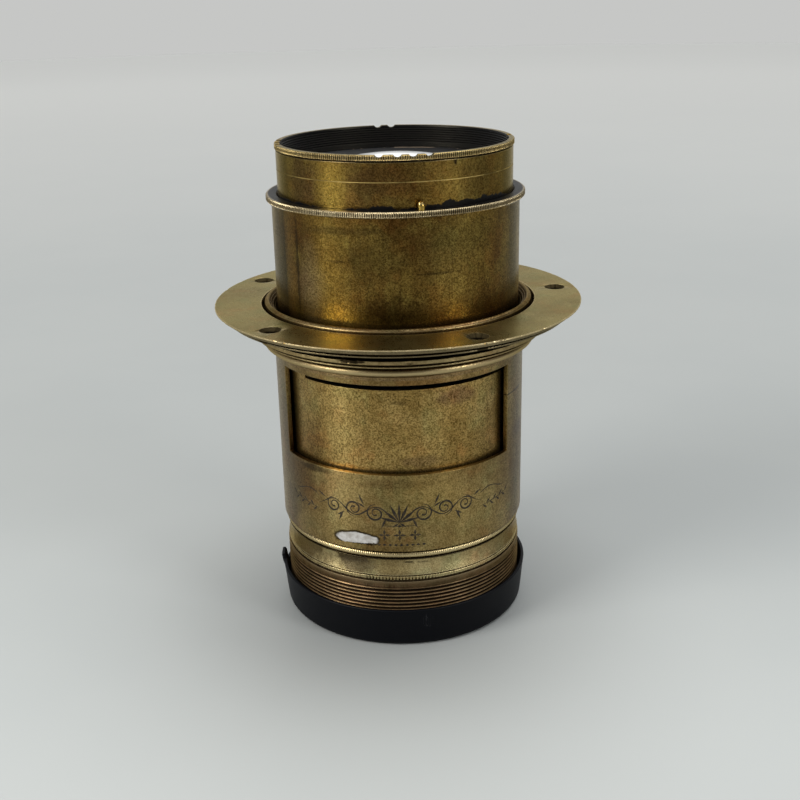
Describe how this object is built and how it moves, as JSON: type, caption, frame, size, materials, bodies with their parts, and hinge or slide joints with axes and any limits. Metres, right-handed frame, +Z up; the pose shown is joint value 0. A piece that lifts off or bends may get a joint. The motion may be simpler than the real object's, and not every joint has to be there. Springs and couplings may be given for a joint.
{
  "type": "brass portrait lens",
  "caption": "Brass portrait lens with a windowed outer barrel, round mounting flange, sliding inner tube, turning rear cell with notched rim, and a black slip-on front cap.",
  "frame": {"origin": "middle of the cap's base, on the surface that the lens stands on", "axes": "+Z up along the optical axis, from the capped front to the rear cell; the window and the engraved side of the barrel face -Y"},
  "size_m": [0.098, 0.098, 0.1298],
  "materials": {
    "jacket_brass": "aged, lightly speckled, satin",
    "collar_brass": "aged, worn bright on its edges",
    "flange_brass": "aged, faint turning marks",
    "tube_brass": "aged, warm and satin",
    "sleeve_brass": "dark, mottled lacquer",
    "inner_brass": "plain turned",
    "blackened_brass": "chemically blackened, matt",
    "front_cell_brass": "aged, coppery on the thread",
    "mount_brass": "aged, worn on the knurling",
    "pin_brass": "bright from handling",
    "rear_cell_brass": "aged, blackened inside",
    "crown_glass": "polished",
    "flint_glass": "polished",
    "cap_plastic": "matt moulded black"
  },
  "bodies": {
    "jacket": {"jacket_tube": "jacket_brass", "jacket_collar": "collar_brass", "mounting_flange": "flange_brass"},
    "lens_tube": {"lens_tube": "tube_brass", "rear_sleeve": "sleeve_brass", "front_guide_ring": "inner_brass", "stop_guide_front": "blackened_brass", "stop_guide_rear": "blackened_brass", "front_cell": "front_cell_brass", "front_crown": "crown_glass", "front_flint": "flint_glass", "front_retaining_ring": "blackened_brass", "rear_mount": "mount_brass", "index_pin": "pin_brass", "rear_crown": "crown_glass", "rear_crown_ring": "blackened_brass"},
    "cell_glass": {"rear_flint": "flint_glass", "rear_retaining_ring": "blackened_brass"},
    "rear_cell": {"rear_cell": "rear_cell_brass"},
    "front_cap": {"front_cap": "cap_plastic"}
  },
  "joints": [
    {"name": "focus_slide", "type": "slide", "parent": "jacket", "child": "lens_tube", "axis": [0, 0, -1], "range_m": [0, 0.0225]},
    {"name": "rear_cell_travel", "type": "slide", "parent": "lens_tube", "child": "cell_glass", "axis": [0, 0, 1], "range_m": [0, 0.00212]},
    {"name": "rear_cell_turn", "type": "hinge", "parent": "cell_glass", "child": "rear_cell", "pos_m": [0, 0, 0.1142], "axis": [0, 0, 1], "range_deg": [0, 720]},
    {"name": "cap_pull", "type": "slide", "parent": "lens_tube", "child": "front_cap", "axis": [0, 0, -1], "range_m": [0, 0.03]}
  ],
  "couplings": [
    {"joint": "rear_cell_travel", "follows": "rear_cell_turn", "m_per_rad": 0.00016844}
  ]
}
